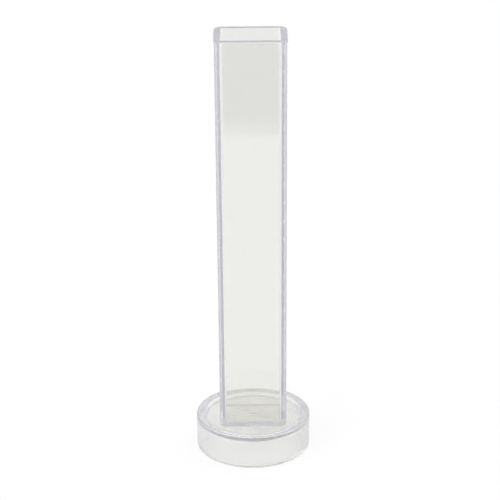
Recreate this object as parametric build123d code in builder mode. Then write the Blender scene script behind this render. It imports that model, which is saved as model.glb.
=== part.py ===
"""Manual rain gauge: a clear rectangular measuring tube that stands in a round clear base.

Millimetres, +Z up. The origin is the centre of the base's underside, and -Y is the front,
the wide side of the tube.
"""

import os

from build123d import *

os.makedirs("parts", exist_ok=True)

# --- driving dimensions: round base -------------------------------------------------------
base_top_diameter = 60.0
base_foot_diameter = 59.6  # the outside draws in a little towards the foot
base_height = 18.0
base_edge_round = 0.9  # soft outer edge of the raised rim
base_foot_bevel = 0.5
skirt_wall = 4.5  # thick wall that carries the rim and reaches the table
recess_depth = 2.2  # from the rim down to the plate that the tube stands on
plate_thickness = 1.4
underside_round = 1.2  # between the plate and the skirt, inside the hollow
knit_groove_width = 0.7  # fine groove across the rim, front and back
knit_groove_depth = 0.35
knit_groove_offset = 0.7  # from the centre line, towards +X

# --- driving dimensions: measuring tube -----------------------------------------------------
mouth_width = 36.1
mouth_depth = 27.1
foot_width = 34.9
foot_depth = 26.2
tube_length = 210.5
tube_wall = 3.2
tube_floor = 1.6
corner_radius = 4.2
floor_round = 0.8  # inside, between the walls and the floor
lip_reach = 0.3  # small bead round the mouth
lip_height = 1.0
lip_round = 0.25
gate_diameter = 3.0  # vestige of the moulding gate, in a dimple under the floor
gate_depth = 0.3

# --- driving dimensions: scale on the +X side ----------------------------------------------
scale_step = 5.0
scale_top = 200.0
tick_width = 0.5
tick_depth = 0.15
short_tick = 5.0
long_tick = 9.0
tick_margin = 1.2  # from the corner's round to the ends of the ticks

# --- worked out -----------------------------------------------------------------------------
plate_top_z = base_height - recess_depth
plate_underside_z = plate_top_z - plate_thickness
recess_radius = base_top_diameter / 2 - skirt_wall
hollow_radius = recess_radius

foot_z = plate_top_z
mouth_z = foot_z + tube_length
floor_z = foot_z + tube_floor
inner_corner_radius = corner_radius - tube_wall
side_slope = (mouth_width - foot_width) / 2 / tube_length


def tube_width(z):
    """Outside width of the tapering tube at height z."""
    return foot_width + (mouth_width - foot_width) * (z - foot_z) / tube_length


def tube_depth(z):
    """Outside depth of the tapering tube at height z."""
    return foot_depth + (mouth_depth - foot_depth) * (z - foot_z) / tube_length


# --- base: a turned shell, open underneath -----------------------------------------------------
with BuildPart() as base:
    with BuildSketch(Plane.XZ):
        with BuildLine():
            Polyline(
                (0, plate_underside_z),
                (0, plate_top_z),
                (recess_radius, plate_top_z),
                (recess_radius, base_height),
                (base_top_diameter / 2, base_height),
                (base_foot_diameter / 2, 0),
                (hollow_radius, 0),
                (hollow_radius, plate_underside_z),
                close=True,
            )
        make_face()
    revolve(axis=Axis.Z)

    rim_edge = base.edges().filter_by(GeomType.CIRCLE).group_by(Axis.Z)[-1].sort_by(SortBy.RADIUS)[-1]
    fillet(rim_edge, base_edge_round)
    foot_edge = base.edges().filter_by(GeomType.CIRCLE).group_by(Axis.Z)[0].sort_by(SortBy.RADIUS)[-1]
    chamfer(foot_edge, base_foot_bevel)
    hollow_edges = [
        edge
        for edge in base.edges().filter_by(GeomType.CIRCLE)
        if abs(edge.center().Z - plate_underside_z) < 0.01
    ]
    fillet(hollow_edges, underside_round)

    # the groove runs over the rim only, at the front and at the back
    groove_reach = base_top_diameter / 2 - recess_radius
    groove_middle = recess_radius + groove_reach / 2
    with Locations(
        (knit_groove_offset, -groove_middle, base_height),
        (knit_groove_offset, groove_middle, base_height),
    ):
        Box(knit_groove_width, 2 * groove_reach, 2 * knit_groove_depth, mode=Mode.SUBTRACT)

base.part.label = "base"
export_step(base.part, "parts/base.step")

# --- measuring tube: a drawn-in rectangular shell with a closed foot --------------------------
with BuildPart() as measuring_tube:
    with BuildSketch(Plane.XY.offset(foot_z)):
        RectangleRounded(foot_width, foot_depth, corner_radius)
    with BuildSketch(Plane.XY.offset(mouth_z)):
        RectangleRounded(mouth_width, mouth_depth, corner_radius)
    loft(ruled=True)

    with BuildSketch(Plane.XY.offset(mouth_z - lip_height)):
        RectangleRounded(
            mouth_width + 2 * lip_reach, mouth_depth + 2 * lip_reach, corner_radius + lip_reach
        )
    extrude(amount=lip_height)

    with BuildSketch(Plane.XY.offset(floor_z)):
        RectangleRounded(
            tube_width(floor_z) - 2 * tube_wall, tube_depth(floor_z) - 2 * tube_wall, inner_corner_radius
        )
    with BuildSketch(Plane.XY.offset(mouth_z)):
        RectangleRounded(mouth_width - 2 * tube_wall, mouth_depth - 2 * tube_wall, inner_corner_radius)
    loft(ruled=True, mode=Mode.SUBTRACT)

    floor_edges = [edge for edge in measuring_tube.edges() if abs(edge.center().Z - floor_z) < 0.01]
    fillet(floor_edges, floor_round)
    mouth_edges = [edge for edge in measuring_tube.edges() if abs(edge.center().Z - mouth_z) < 0.01]
    fillet(mouth_edges, lip_round)

    # the gate's dimple, under the floor
    with BuildSketch(Plane.XY.offset(foot_z)):
        Circle(gate_diameter / 2)
    extrude(amount=gate_depth, mode=Mode.SUBTRACT)

    # graduations cut into the +X side, zero at the inner floor
    scale_side = Plane(
        origin=(tube_width(floor_z) / 2, 0, floor_z), x_dir=(0, 1, 0), z_dir=(1, 0, -side_slope)
    )
    scale_left = -foot_depth / 2 + corner_radius + tick_margin
    tick_count = int(scale_top / scale_step)
    for number in range(1, tick_count + 1):
        tick_length = long_tick if number % 2 == 0 else short_tick
        with BuildSketch(scale_side):
            with Locations((scale_left + tick_length / 2, number * scale_step)):
                Rectangle(tick_length, tick_width)
        extrude(amount=-tick_depth, mode=Mode.SUBTRACT)

measuring_tube.part.label = "measuring_tube"
export_step(measuring_tube.part, "parts/measuring_tube.step")
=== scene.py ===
# %% [markdown]
# # A clear plastic rain gauge
#
# The real object is two mouldings in clear polystyrene: a tall rectangular tube that catches
# and measures the rain, and a round base that it stands in. Clear plastic has almost no colour
# of its own. What the eye reads is how each wall bends and mirrors the room, so this lesson
# spends its effort on true wall thicknesses, on small rounds where faces meet, and on a
# surrounding that gives the edges something darker than the white table to show.

# %% Load the frame
import math

import bmesh
import bpy
from mathutils import Matrix, Vector


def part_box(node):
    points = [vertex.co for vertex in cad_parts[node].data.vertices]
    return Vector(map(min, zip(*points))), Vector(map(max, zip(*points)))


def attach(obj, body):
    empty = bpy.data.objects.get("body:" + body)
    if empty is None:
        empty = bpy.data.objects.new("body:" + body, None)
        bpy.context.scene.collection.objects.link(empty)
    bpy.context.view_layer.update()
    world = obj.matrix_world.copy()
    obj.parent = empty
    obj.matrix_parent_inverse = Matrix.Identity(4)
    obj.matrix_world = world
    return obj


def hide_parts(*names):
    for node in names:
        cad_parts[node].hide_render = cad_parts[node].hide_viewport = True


MM = 0.001
MERGE_DISTANCE = 0.0005 * MM

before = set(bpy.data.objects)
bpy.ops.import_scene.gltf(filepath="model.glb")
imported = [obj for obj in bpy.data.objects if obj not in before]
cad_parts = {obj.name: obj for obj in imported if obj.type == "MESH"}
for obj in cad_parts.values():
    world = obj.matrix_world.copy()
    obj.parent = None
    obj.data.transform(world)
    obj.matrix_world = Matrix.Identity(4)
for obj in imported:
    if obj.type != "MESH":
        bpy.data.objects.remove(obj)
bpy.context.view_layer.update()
base_lo, base_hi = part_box("base")
tube_lo, tube_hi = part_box("measuring_tube")
print("base", [round(v / MM, 2) for v in base_hi - base_lo], "mm")
print("tube", [round(v / MM, 2) for v in tube_hi - tube_lo], "mm")

# %% [markdown]
# ## Picking faces and edges by place
#
# With no mouse, a face is chosen by where it lies. Each helper enters edit mode with nothing
# selected, selects what a small test accepts, and leaves the operators to do the shaping.


# %% Helpers for modelling
def begin(name):
    """Names the primitive just added and puts its place into its mesh."""
    piece = bpy.context.active_object
    piece.name = piece.data.name = name
    bpy.ops.object.transform_apply(location=True, rotation=True, scale=True)
    bpy.ops.object.mode_set(mode="EDIT")
    return piece


def pick(piece, kind, test):
    """Selects only the faces or edges that the test accepts."""
    bpy.ops.mesh.select_mode(type=kind)
    bpy.ops.mesh.select_all(action="DESELECT")
    shape = bmesh.from_edit_mesh(piece.data)
    things = shape.faces if kind == "FACE" else shape.edges
    for thing in things:
        if test(thing):
            thing.select_set(True)
    shape.select_flush_mode()
    bmesh.update_edit_mesh(piece.data)


def level(thing, height, slack=0.01 * MM):
    """True if every corner of a face or edge lies at this height."""
    return all(abs(v.co.z - height) < slack for v in thing.verts)


def reach(vertex):
    """Distance of a vertex from the upright axis."""
    return math.hypot(vertex.co.x, vertex.co.y)


def soften(width, segments):
    """Rounds the selected edges."""
    bpy.ops.mesh.bevel(offset=width, offset_type="OFFSET", segments=segments, affect="EDGES")


def cut(piece, cutter):
    """Takes the cutter out of the piece, and then removes the cutter."""
    bpy.ops.object.select_all(action="DESELECT")
    piece.select_set(True)
    bpy.context.view_layer.objects.active = piece
    bpy.ops.object.modifier_add(type="BOOLEAN")
    difference = piece.modifiers[-1]
    difference.operation = "DIFFERENCE"
    difference.object = cutter
    bpy.ops.object.modifier_apply(modifier=difference.name)
    bpy.data.objects.remove(cutter)


def close_seams(piece):
    """Splits every open edge wherever the corner of a neighbouring face touches it."""
    shape = bmesh.from_edit_mesh(piece.data)
    open_edges = [edge for edge in shape.edges if edge.is_boundary]
    corners = {corner for edge in open_edges for corner in edge.verts}
    for edge in open_edges:
        start, end = (v.co.copy() for v in edge.verts)
        span = end - start
        slack = MERGE_DISTANCE * span.length
        ways = [v.co - start for v in corners if v not in edge.verts]
        touching = [way for way in ways if way.cross(span).length < slack]
        shares = sorted(way.dot(span) / span.length_squared for way in touching)
        corner, done = edge.verts[0], 0.0
        for share in shares:
            if 0 < share < 1:
                corner = bmesh.utils.edge_split(edge, corner, (share - done) / (1 - done))[1]
                done = share
    bmesh.update_edit_mesh(piece.data)


def finish_mesh(piece):
    """Merges stray corners, shades the rounds smooth and keeps the flats flat."""
    bpy.ops.object.mode_set(mode="EDIT")
    close_seams(piece)
    bpy.ops.mesh.select_all(action="SELECT")
    bpy.ops.mesh.remove_doubles(threshold=MERGE_DISTANCE)
    bpy.ops.mesh.normals_make_consistent(inside=False)
    bpy.ops.object.mode_set(mode="OBJECT")
    bpy.ops.object.shade_smooth_by_angle(angle=math.radians(40))
    bpy.ops.object.mode_set(mode="EDIT")
    pick(piece, "FACE", lambda f: len(f.verts) > 8)
    bpy.ops.mesh.faces_shade_flat()
    bpy.ops.object.mode_set(mode="OBJECT")
    bpy.ops.object.modifier_add(type="WEIGHTED_NORMAL")
    piece.modifiers[-1].keep_sharp = True
    bpy.ops.object.modifier_apply(modifier=piece.modifiers[-1].name)
    print(piece.name, len(piece.data.polygons), "faces")


# %% [markdown]
# ## The base
#
# The base is one moulding: a thick ring that stands on the table, with a thin plate across it
# just under the rim. Turned parts are often spun from a profile. Here a cylinder is inset and
# extruded from both ends instead, because each step then matches one feature of the mould:
# the recess above, the hollow below, and the rounded edges.

# %% Model the base
RIM_WIDTH = 4.5 * MM
RECESS_DEPTH = base_hi.z - tube_lo.z
PLATE_THICKNESS = 1.4 * MM
FOOT_DRAFT = 0.2 * MM
RIM_ROUND = 0.9 * MM
INNER_RIM_ROUND = 0.2 * MM
UNDERSIDE_ROUND = 1.2 * MM
FOOT_BEVEL = 0.5 * MM

base_radius = base_hi.x
base_height = base_hi.z
hollow_top = base_height - RECESS_DEPTH - PLATE_THICKNESS

bpy.ops.object.select_all(action="DESELECT")
bpy.ops.mesh.primitive_cylinder_add(
    vertices=192, radius=base_radius, depth=base_height, location=(0, 0, base_height / 2)
)
base = begin("base_shell")

pick(base, "FACE", lambda f: level(f, 0))
shrink = 1 - FOOT_DRAFT / base_radius
bpy.ops.transform.resize(value=(shrink, shrink, 1), center_override=(0, 0, 0))
bpy.ops.mesh.inset(thickness=RIM_WIDTH - FOOT_DRAFT)
bpy.ops.mesh.extrude_region_move(TRANSFORM_OT_translate={"value": (0, 0, hollow_top)})

pick(base, "FACE", lambda f: level(f, base_height))
bpy.ops.mesh.inset(thickness=RIM_WIDTH)
bpy.ops.mesh.extrude_region_move(TRANSFORM_OT_translate={"value": (0, 0, -RECESS_DEPTH)})
plate_top = base_height - RECESS_DEPTH
print("plate between", round(hollow_top / MM, 2), "and", round(plate_top / MM, 2), "mm")

# %% Round the base's edges
rim_middle = base_radius - RIM_WIDTH / 2

pick(base, "EDGE", lambda e: level(e, hollow_top))
soften(UNDERSIDE_ROUND, 6)
pick(base, "EDGE", lambda e: level(e, 0) and min(reach(v) for v in e.verts) > rim_middle)
soften(FOOT_BEVEL, 3)
pick(base, "EDGE", lambda e: level(e, base_height) and min(reach(v) for v in e.verts) > rim_middle)
soften(RIM_ROUND, 7)
pick(base, "EDGE", lambda e: level(e, base_height) and max(reach(v) for v in e.verts) < rim_middle)
soften(INNER_RIM_ROUND, 3)
bpy.ops.object.mode_set(mode="OBJECT")
print("rounded base", len(base.data.polygons), "faces")

# %% [markdown]
# Where the melt fills a ring from two sides, the two streams meet in a knit line. The mould
# shop has hidden it in a fine groove across the rim, at the front and at the back. A bar as
# wide as the groove is laid over the rim and taken away from it.

# %% Cut the knit grooves
GROOVE_WIDTH = 0.7 * MM
GROOVE_DEPTH = 0.35 * MM
GROOVE_OFFSET = 0.7 * MM

bpy.ops.object.select_all(action="DESELECT")
bpy.ops.mesh.primitive_cube_add(size=1, location=(GROOVE_OFFSET, 0, base_height))
bar = bpy.context.active_object
bar.scale = (GROOVE_WIDTH, 2 * base_radius + 4 * MM, 2 * GROOVE_DEPTH)
bpy.ops.object.transform_apply(location=True, rotation=True, scale=True)
cut(base, bar)
finish_mesh(base)

# %% [markdown]
# ## The measuring tube
#
# The tube is pulled off a long core, so it widens a little towards its mouth. A box is tapered
# and its four upright edges are rounded. The top face is then inset by the wall and pushed
# down almost to the foot, which leaves the corners of the bore with their own smaller round.

# %% Model the tube
WALL = 3.2 * MM
FLOOR = 1.6 * MM
CORNER = 4.2 * MM
LIP_REACH = 0.3 * MM
LIP_HEIGHT = 1.0 * MM
LIP_ROUND = 0.25 * MM
FLOOR_ROUND = 0.8 * MM
FOOT_WIDTH = 34.9 * MM
FOOT_DEPTH = 26.2 * MM
AIR_GAP = 0.04 * MM  # the foot stands on the plate dry, so a film of air stays between them

mouth_width = tube_hi.x - tube_lo.x - 2 * LIP_REACH
mouth_depth = tube_hi.y - tube_lo.y - 2 * LIP_REACH
foot_z = tube_lo.z + AIR_GAP
mouth_z = tube_hi.z
lip_z = mouth_z - LIP_HEIGHT
floor_z = tube_lo.z + FLOOR

bpy.ops.object.select_all(action="DESELECT")
bpy.ops.mesh.primitive_cube_add(size=1, location=(0, 0, (foot_z + lip_z) / 2))
bpy.context.active_object.scale = (FOOT_WIDTH, FOOT_DEPTH, lip_z - foot_z)
tube = begin("measuring_tube_shell")

pick(tube, "FACE", lambda f: level(f, lip_z))
bpy.ops.transform.resize(
    value=(mouth_width / FOOT_WIDTH, mouth_depth / FOOT_DEPTH, 1), center_override=(0, 0, lip_z)
)
pick(tube, "EDGE", lambda e: abs(e.verts[0].co.z - e.verts[1].co.z) > FLOOR)
soften(CORNER, 14)
print("tube's foot", FOOT_WIDTH / MM, "x", FOOT_DEPTH / MM, "mm")
print("tube's mouth", round(mouth_width / MM, 2), "x", round(mouth_depth / MM, 2), "mm")

# %% Raise the lip and push the bore down
lip_spread = (
    (mouth_width + 2 * LIP_REACH) / mouth_width,
    (mouth_depth + 2 * LIP_REACH) / mouth_depth,
    1,
)
bore_shrink = (
    (FOOT_WIDTH - 2 * WALL) / (mouth_width - 2 * WALL),
    (FOOT_DEPTH - 2 * WALL) / (mouth_depth - 2 * WALL),
    1,
)
pick(tube, "FACE", lambda f: level(f, lip_z))
bpy.ops.mesh.extrude_region_move(TRANSFORM_OT_translate={"value": (0, 0, 0)})
bpy.ops.transform.resize(value=lip_spread, center_override=(0, 0, lip_z))
bpy.ops.mesh.extrude_region_move(TRANSFORM_OT_translate={"value": (0, 0, LIP_HEIGHT)})
bpy.ops.mesh.inset(thickness=WALL + LIP_REACH)
bpy.ops.mesh.extrude_region_move(TRANSFORM_OT_translate={"value": (0, 0, floor_z - mouth_z)})
bpy.ops.transform.resize(value=bore_shrink, center_override=(0, 0, 0))

pick(tube, "EDGE", lambda e: level(e, floor_z))
soften(FLOOR_ROUND, 5)
pick(tube, "EDGE", lambda e: level(e, mouth_z) and any(abs(f.normal.z) < 0.5 for f in e.link_faces))
soften(LIP_ROUND, 4)
bpy.ops.object.mode_set(mode="OBJECT")
print("open tube", len(tube.data.polygons), "faces")

# %% [markdown]
# ## The scale
#
# The graduations are cut into the mould and stand in one narrow side of the tube, every five
# millimetres from the inner floor up, with a long line and its number at every ten. One long
# and one short bar are repeated up the wall with an array that follows the wall's slope. The
# numbers are text made into mesh. All of them are joined and taken out of the wall at once.

# %% Lay out the graduations
SCALE_TOP = 200
TICK_WIDTH = 0.5 * MM
TICK_DEPTH = 0.15 * MM
SHORT_TICK = 5.0 * MM
LONG_TICK = 9.0 * MM
SCALE_LEFT = -FOOT_DEPTH / 2 + CORNER + 1.2 * MM
NUMBER_SIZE = 3.2 * MM
NUMBER_GAP = 0.9 * MM
STEP = 5 * MM

slope = (mouth_width - FOOT_WIDTH) / 2 / (lip_z - foot_z)


def wall_x(height):
    """Where the scale's side lies at this height above the inner floor."""
    return FOOT_WIDTH / 2 + slope * (floor_z + height - foot_z)


cutters = []
for first, length in ((STEP, SHORT_TICK), (2 * STEP, LONG_TICK)):
    bpy.ops.object.select_all(action="DESELECT")
    bpy.ops.mesh.primitive_cube_add(
        size=1, location=(wall_x(first), SCALE_LEFT + length / 2, floor_z + first)
    )
    tick = bpy.context.active_object
    tick.scale = (2 * TICK_DEPTH, length, TICK_WIDTH)
    bpy.ops.object.transform_apply(location=True, rotation=True, scale=True)
    bpy.ops.object.modifier_add(type="ARRAY")
    rows = tick.modifiers[-1]
    rows.count = SCALE_TOP // 10
    rows.use_relative_offset = False
    rows.use_constant_offset = True
    rows.constant_offset_displace = (slope * 2 * STEP, 0, 2 * STEP)
    bpy.ops.object.modifier_apply(modifier=rows.name)
    cutters.append(tick)

for number in range(10, SCALE_TOP + 1, 10):
    height = number * MM
    bpy.ops.object.text_add(
        location=(wall_x(height), SCALE_LEFT + LONG_TICK + NUMBER_GAP, floor_z + height),
        rotation=(math.pi / 2, 0, math.pi / 2),
    )
    label = bpy.context.active_object
    label.data.body = str(number)
    label.data.size = NUMBER_SIZE
    label.data.align_y = "CENTER"
    label.data.extrude = TICK_DEPTH
    label.data.resolution_u = 3
    bpy.ops.object.convert(target="MESH")
    cutters.append(bpy.context.active_object)
print("rows and numbers to cut:", len(cutters))

# %% Cut the graduations and the gate's dimple
GATE_RADIUS = 1.5 * MM
GATE_DEPTH = 0.3 * MM

bpy.ops.mesh.primitive_cylinder_add(
    vertices=48, radius=GATE_RADIUS, depth=2 * GATE_DEPTH, location=(0, 0, foot_z)
)
cutters.append(bpy.context.active_object)
bpy.ops.object.select_all(action="DESELECT")
for cutter in cutters:
    cutter.select_set(True)
bpy.context.view_layer.objects.active = cutters[0]
bpy.ops.object.join()
bpy.ops.object.transform_apply(location=True, rotation=True, scale=True)
cut(tube, bpy.context.active_object)
finish_mesh(tube)

# %% [markdown]
# ## Clear moulded polystyrene
#
# Crystal polystyrene is injected against polished steel. It bends light more than window glass
# does, with an index near 1.59. It is not perfectly clear either: the melt holds a trace of
# blue toner that hides its yellow tint, and a very fine haze. Through a wall of 3 mm neither
# can be seen, but along a wall the eye looks through centimetres of plastic, and there the
# edges turn blue-grey. A tint on the surface would colour the thin walls as much as the thick
# ones, so the colour is put inside, as a volume with two parts: one absorbs, one scatters.


# %% Helpers for materials
def linear(hex_colour):
    """Turns an sRGB hex colour into the linear values that shaders use."""
    def channel(value):
        return value / 12.92 if value <= 0.04045 else ((value + 0.055) / 1.055) ** 2.4
    return tuple(channel(int(hex_colour[i : i + 2], 16) / 255) for i in (1, 3, 5)) + (1.0,)


def add(tree, kind, settings=None, links=None):
    """Adds a node, sets its plain values by name, and links its sockets by name or number."""
    node = tree.nodes.new(kind)
    for name, value in (settings or {}).items():
        if name in node.inputs.keys():
            node.inputs[name].default_value = value
        else:
            setattr(node, name, value)
    for socket, source in (links or {}).items():
        tree.links.new(source, node.inputs[socket])
    return node


# %% The finish of both mouldings
POLYSTYRENE_INDEX = 1.59
WALL_TINT = "#fefefa"  # the faint warm cast of a wall that is looked through straight on
BODY_COLOUR = "#e6e6f2"  # blue toner, seen only along a wall
HAZE_COLOUR = "#f7f9ff"
LIGHT_PASSED = "#f1f1f1"  # the share of a lamp's light that each surface lets through
RIPPLE_WIDTH = 9 * MM  # flow marks, left as the melt runs up the cavity and chills
RIPPLE_STRETCH = 0.35  # they are drawn out upwards
RIPPLE_HEIGHT = 0.0005 * MM
GRAIN_WIDTH = 0.8 * MM  # polishing marks are finer, and are drawn this coarse so that they show
GRAIN_HEIGHT = 0.0003 * MM
WIPED_PATCH = 7 * MM  # wiping and handling leave patches that shine a little more or less
PATCH_DARKEST = 0.35  # the noise stays between these two values, near enough
PATCH_BRIGHTEST = 0.7


def clear_polystyrene(name, roughness, spread, absorbing, scattering):
    """Clear plastic with flow marks, wiped patches and a body that absorbs and scatters."""
    material = bpy.data.materials.new(name)
    material.use_nodes = True
    tree = material.node_tree
    tree.nodes.clear()
    place = add(tree, "ShaderNodeTexCoord").outputs["Object"]
    upwards = {"Scale": (1, 1, RIPPLE_STRETCH)}
    flow = add(tree, "ShaderNodeMapping", upwards, {"Vector": place}).outputs[0]
    wide = {"Scale": 1 / RIPPLE_WIDTH, "Detail": 2.0}
    ripples = add(tree, "ShaderNodeTexNoise", wide, {"Vector": flow}).outputs["Fac"]
    fine = {"Scale": 1 / GRAIN_WIDTH, "Detail": 3.0}
    grain = add(tree, "ShaderNodeTexNoise", fine, {"Vector": place}).outputs["Fac"]
    patchy = {"Scale": 1 / WIPED_PATCH, "Detail": 4.0}
    patches = add(tree, "ShaderNodeTexNoise", patchy, {"Vector": place}).outputs["Fac"]
    swell = {"Strength": 1.0, "Distance": RIPPLE_HEIGHT}
    waves = add(tree, "ShaderNodeBump", swell, {"Height": ripples}).outputs[0]
    marks = {"Strength": 1.0, "Distance": GRAIN_HEIGHT}
    relief = add(tree, "ShaderNodeBump", marks, {"Height": grain, "Normal": waves}).outputs[0]
    shine = {
        "From Min": PATCH_DARKEST,
        "From Max": PATCH_BRIGHTEST,
        "To Min": roughness - spread,
        "To Max": roughness + spread,
    }
    polish = add(tree, "ShaderNodeMapRange", shine, {"Value": patches}).outputs[0]
    clear = {
        "Base Color": linear(WALL_TINT),
        "IOR": POLYSTYRENE_INDEX,
        "Transmission Weight": 1.0,
    }
    relief_and_polish = {"Roughness": polish, "Normal": relief}
    plastic = add(tree, "ShaderNodeBsdfPrincipled", clear, relief_and_polish).outputs[0]
    passed = add(tree, "ShaderNodeBsdfTransparent", {"Color": linear(LIGHT_PASSED)}).outputs[0]
    shadow_ray = add(tree, "ShaderNodeLightPath").outputs["Is Shadow Ray"]
    either = {"Fac": shadow_ray, 1: plastic, 2: passed}
    surface = add(tree, "ShaderNodeMixShader", {}, either).outputs[0]
    toning = {"Color": linear(BODY_COLOUR), "Density": absorbing}
    toner = add(tree, "ShaderNodeVolumeAbsorption", toning).outputs[0]
    hazing = {"Color": linear(HAZE_COLOUR), "Density": scattering}
    haze = add(tree, "ShaderNodeVolumeScatter", hazing).outputs[0]
    body = add(tree, "ShaderNodeAddShader", {}, {0: toner, 1: haze}).outputs[0]
    add(tree, "ShaderNodeOutputMaterial", {}, {"Surface": surface, "Volume": body})
    return material


# %% [markdown]
# The tube's mould is polished bright, because the water has to be read through it. The base's
# is only drawn smooth, so its surface is softer, and it is moulded from a clearer melt. Each
# piece has one material all over: a ray that entered through one volume and left through
# another would carry the first one out into the air with it, and darken whatever lies behind.

# %% Give each moulding its finish
bright = clear_polystyrene(
    "clear polystyrene, bright polished",
    roughness=0.04,
    spread=0.015,
    absorbing=30.0,
    scattering=24.0,
)
smooth = clear_polystyrene(
    "clear polystyrene, drawn smooth",
    roughness=0.2,
    spread=0.04,
    absorbing=22.0,
    scattering=3.0,
)
tube.data.materials.append(bright)
base.data.materials.append(smooth)
for piece in (tube, base):
    print(piece.name, "wears", piece.data.materials[0].name)

# %% Tie the pieces to the frame
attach(base, "stand")
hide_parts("base")
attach(tube, "tube")
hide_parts("measuring_tube")
print("base rides on stand, tube rides on tube")

# %% [markdown]
# ## A white table in a pale grey room
#
# Clear plastic shows only its surroundings. Where everything is white it vanishes, so a
# studio keeps the table and the backdrop white, and the rest of the room a little darker.
# The table here glows by itself as well as being lit. That keeps it white without brighter
# lamps, and the part of it that is lit keeps the gauge's soft shadow. What the plastic mirrors
# and bends is a shade less white than what the eye sees directly.

# %% White table
TABLE_SIZE = 8.0
TABLE_DROP = 0.2 * MM  # keeps the paper clear of the base's foot
PAPER_TINT = "#eeeeee"  # what the room's own bounced light finds
WHITE = (1, 1, 1, 1)
WHITE_SEEN = 1.0
WHITE_IN_PLASTIC = 0.93
SHADOW_SEEN = 0.2  # how much of the table's light comes from the lamps, and so shows a shadow
SHADOW_IN_PLASTIC = 0.5
SHADOW_NEAR = 0.1  # the shadow fades out between these distances from the gauge
SHADOW_FAR = 0.6

bpy.ops.object.select_all(action="DESELECT")
bpy.ops.mesh.primitive_plane_add(size=TABLE_SIZE, location=(0, 0, -TABLE_DROP))
table = bpy.context.active_object
table.name = "table"
paper = bpy.data.materials.new("matt white paper")
paper.use_nodes = True
tree = paper.node_tree
tree.nodes.clear()


def lit_paper(whiteness, share):
    """Paper of this whiteness, of which this share is lit and the rest glows."""
    glowing = {"Color": WHITE, "Strength": whiteness * (1 - share)}
    glow = add(tree, "ShaderNodeEmission", glowing).outputs[0]
    lit_colour = {"Color": (whiteness * share,) * 3 + (1,)}
    lit = add(tree, "ShaderNodeBsdfDiffuse", lit_colour).outputs[0]
    return add(tree, "ShaderNodeAddShader", {}, {0: glow, 1: lit}).outputs[0]


path = add(tree, "ShaderNodeLightPath").outputs
place = add(tree, "ShaderNodeTexCoord").outputs["Object"]
length = {"operation": "LENGTH"}
distance = add(tree, "ShaderNodeVectorMath", length, {"Vector": place}).outputs["Value"]
fade = {"From Min": SHADOW_NEAR, "From Max": SHADOW_FAR}
away = add(tree, "ShaderNodeMapRange", fade, {"Value": distance}).outputs[0]
plain_white = {"Color": WHITE, "Strength": WHITE_SEEN}
plain = add(tree, "ShaderNodeEmission", plain_white).outputs[0]
shaded = lit_paper(WHITE_SEEN, SHADOW_SEEN)
seen = add(tree, "ShaderNodeMixShader", {}, {"Fac": away, 1: shaded, 2: plain}).outputs[0]
bounced = add(tree, "ShaderNodeBsdfDiffuse", {"Color": linear(PAPER_TINT)}).outputs[0]
glossy_or_clear = {0: path["Is Glossy Ray"], 1: path["Is Transmission Ray"]}
by_plastic = add(
    tree, "ShaderNodeMath", {"operation": "MAXIMUM"}, glossy_or_clear
).outputs[0]
in_plastic = lit_paper(WHITE_IN_PLASTIC, SHADOW_IN_PLASTIC)
others = {"Fac": by_plastic, 1: bounced, 2: in_plastic}
unseen = add(tree, "ShaderNodeMixShader", {}, others).outputs[0]
by_eye = {"Fac": path["Is Camera Ray"], 1: unseen, 2: seen}
white_paper = add(tree, "ShaderNodeMixShader", {}, by_eye).outputs[0]
add(tree, "ShaderNodeOutputMaterial", {}, {"Surface": white_paper})
table.data.materials.append(paper)
print("table", TABLE_SIZE, "m across, shadow faded out at", SHADOW_FAR, "m")

# %% [markdown]
# The upper part of the tube's wide side is darker, as if it mirrored a bare table beyond the
# white sheet far in front of it. That darker reflection is painted: a grey card that glows, seen
# only in reflections, stands for the bare table. It is found by its glossy depth, which counts
# the reflections on a ray's way, so it never shows through the tube when the gauge is seen from
# behind.

# %% Grey card in front
CARD_START = 0.503
CARD_LENGTH = 1.2
CARD_WIDTH = 0.06
CARD_TONE = 0.25
CARD_HEIGHT = 1 * MM

bpy.ops.object.select_all(action="DESELECT")
bpy.ops.mesh.primitive_plane_add(size=1, location=(0, -CARD_START - CARD_LENGTH / 2, CARD_HEIGHT))
card = bpy.context.active_object
card.name = "grey_card"
card.scale = (CARD_WIDTH, CARD_LENGTH, 1)
bpy.ops.object.transform_apply(location=True, rotation=True, scale=True)
card_finish = bpy.data.materials.new("grey card painted into reflections")
card_finish.use_nodes = True
tree = card_finish.node_tree
tree.nodes.clear()
reflections = add(tree, "ShaderNodeLightPath").outputs["Glossy Depth"]
over = {"operation": "GREATER_THAN"}
mirrored = add(tree, "ShaderNodeMath", over, {"Value": reflections}).outputs[0]
nothing = add(tree, "ShaderNodeBsdfTransparent").outputs[0]
# painted reflection: the card glows a flat grey, and only rays that have been mirrored see it
grey = add(tree, "ShaderNodeEmission", {"Color": WHITE, "Strength": CARD_TONE}).outputs[0]
if_mirrored = {"Fac": mirrored, 1: nothing, 2: grey}
only_mirrored = add(tree, "ShaderNodeMixShader", {}, if_mirrored).outputs[0]
add(tree, "ShaderNodeOutputMaterial", {}, {"Surface": only_mirrored})
card.data.materials.append(card_finish)
card.visible_camera = card.visible_diffuse = card.visible_shadow = False
print("grey card from", CARD_START, "to", CARD_START + CARD_LENGTH, "m in front")

# %% [markdown]
# The world is the room around the table. Its backdrop, and the lower walls all round, are
# nearly white, and the rest is a cool grey. The eye itself sees plain white behind the gauge.

# %% Room
ROOM_COLOUR = "#f6f7ff"
ROOM_TONE = 0.6
BACKDROP_TONE = 0.85
BACKDROP_START = 0.35  # how far back a direction points where the backdrop begins, and is whole
BACKDROP_WHOLE = 0.6
LOW_WALL_TOP = 0.5  # how far up it points where the pale lower walls end, and are whole
LOW_WALL_WHOLE = 0.25

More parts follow.
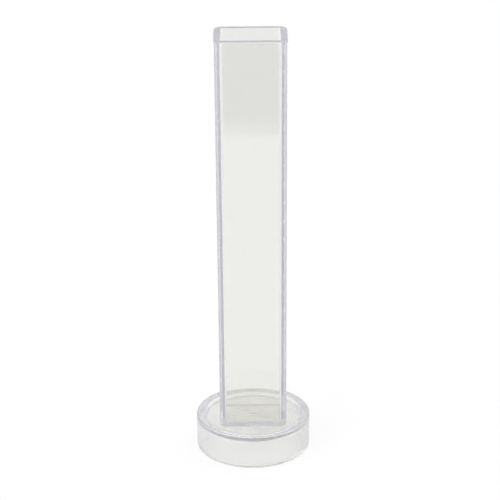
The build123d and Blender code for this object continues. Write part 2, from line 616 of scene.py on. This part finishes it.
world = bpy.data.worlds.new("studio")
bpy.context.scene.world = world
world.use_nodes = True
tree = world.node_tree
tree.nodes.clear()
direction = add(tree, "ShaderNodeTexCoord").outputs["Generated"]
parts = add(tree, "ShaderNodeSeparateXYZ", {}, {"Vector": direction}).outputs
back_fade = {"From Min": BACKDROP_START, "From Max": BACKDROP_WHOLE}
behind = add(tree, "ShaderNodeMapRange", back_fade, {"Value": parts["Y"]}).outputs[0]
low_fade = {"From Min": LOW_WALL_TOP, "From Max": LOW_WALL_WHOLE}
low = add(tree, "ShaderNodeMapRange", low_fade, {"Value": parts["Z"]}).outputs[0]
pale = add(tree, "ShaderNodeMath", {"operation": "MAXIMUM"}, {0: behind, 1: low}).outputs[0]
grey_wall = {"Color": linear(ROOM_COLOUR), "Strength": ROOM_TONE}
walls = add(tree, "ShaderNodeBackground", grey_wall).outputs[0]
pale_cloth = {"Color": WHITE, "Strength": BACKDROP_TONE}
backdrop = add(tree, "ShaderNodeBackground", pale_cloth).outputs[0]
white = add(tree, "ShaderNodeBackground", {"Color": WHITE, "Strength": 1.0}).outputs[0]
room = add(tree, "ShaderNodeMixShader", {}, {"Fac": pale, 1: walls, 2: backdrop}).outputs[0]
camera_ray = add(tree, "ShaderNodeLightPath").outputs["Is Camera Ray"]
by_eye = {"Fac": camera_ray, 1: room, 2: white}
everything = add(tree, "ShaderNodeMixShader", {}, by_eye).outputs[0]
add(tree, "ShaderNodeOutputWorld", {}, {"Surface": everything})
print("room at", ROOM_TONE, "of white, backdrop at", BACKDROP_TONE)

# %% [markdown]
# Two large softboxes light the gauge. Neither is strong: a lamp that is brighter than the
# table would only put hard glints on plastic that should look calm.

# %% Lamps
SOFTBOX_SIZE = 2.4
LIT_SPOT = Vector((0, 0, 0.1))  # halfway up the gauge

for name, place, watts in (
    ("softbox left", (-1.3, -0.9, 1.6), 28.8),
    ("softbox right", (1.5, 0.4, 1.3), 12.0),
):
    light = bpy.data.lights.new(name, "AREA")
    light.size = SOFTBOX_SIZE
    light.energy = watts
    softbox = bpy.data.objects.new(name, light)
    bpy.context.scene.collection.objects.link(softbox)
    softbox.location = place
    softbox.rotation_euler = (LIT_SPOT - Vector(place)).to_track_quat("-Z", "Y").to_euler()
    print(name, watts, "W")

# %% [markdown]
# The camera stands a metre away and looks down by some 23 degrees, so the mouth of the tube and
# the top of the base show as narrow shapes. Light that zigzags inside a wall meets many
# surfaces before it leaves, so the limits on bounces are raised: a ray that is stopped early
# comes out black.

# %% Camera
PITCH = math.radians(22.94)
ROLL = math.radians(-0.435)
LENS = 144.6
ASIDE = -0.034  # the camera's place is given in base radii, from the middle of the base's top
BACK = 31.70
UP = 16.52
BOUNCES = 48

camera_data = bpy.data.cameras.new("camera")
camera_data.lens = LENS
camera_data.sensor_width = 36
camera_data.clip_end = 20
camera = bpy.data.objects.new("camera", camera_data)
bpy.context.scene.collection.objects.link(camera)
camera.location = (ASIDE * base_radius, -BACK * base_radius, base_height + UP * base_radius)
look = Matrix.Rotation(math.pi / 2 - PITCH, 4, "X") @ Matrix.Rotation(ROLL, 4, "Z")
camera.rotation_euler = look.to_euler()
bpy.context.scene.camera = camera
bpy.context.scene.view_settings.view_transform = "Standard"
light_paths = bpy.context.scene.cycles
light_paths.max_bounces = BOUNCES
light_paths.glossy_bounces = BOUNCES
light_paths.transmission_bounces = BOUNCES
light_paths.diffuse_bounces = 12
light_paths.volume_bounces = 3
print("camera at", [round(v, 3) for v in camera.location], "m")
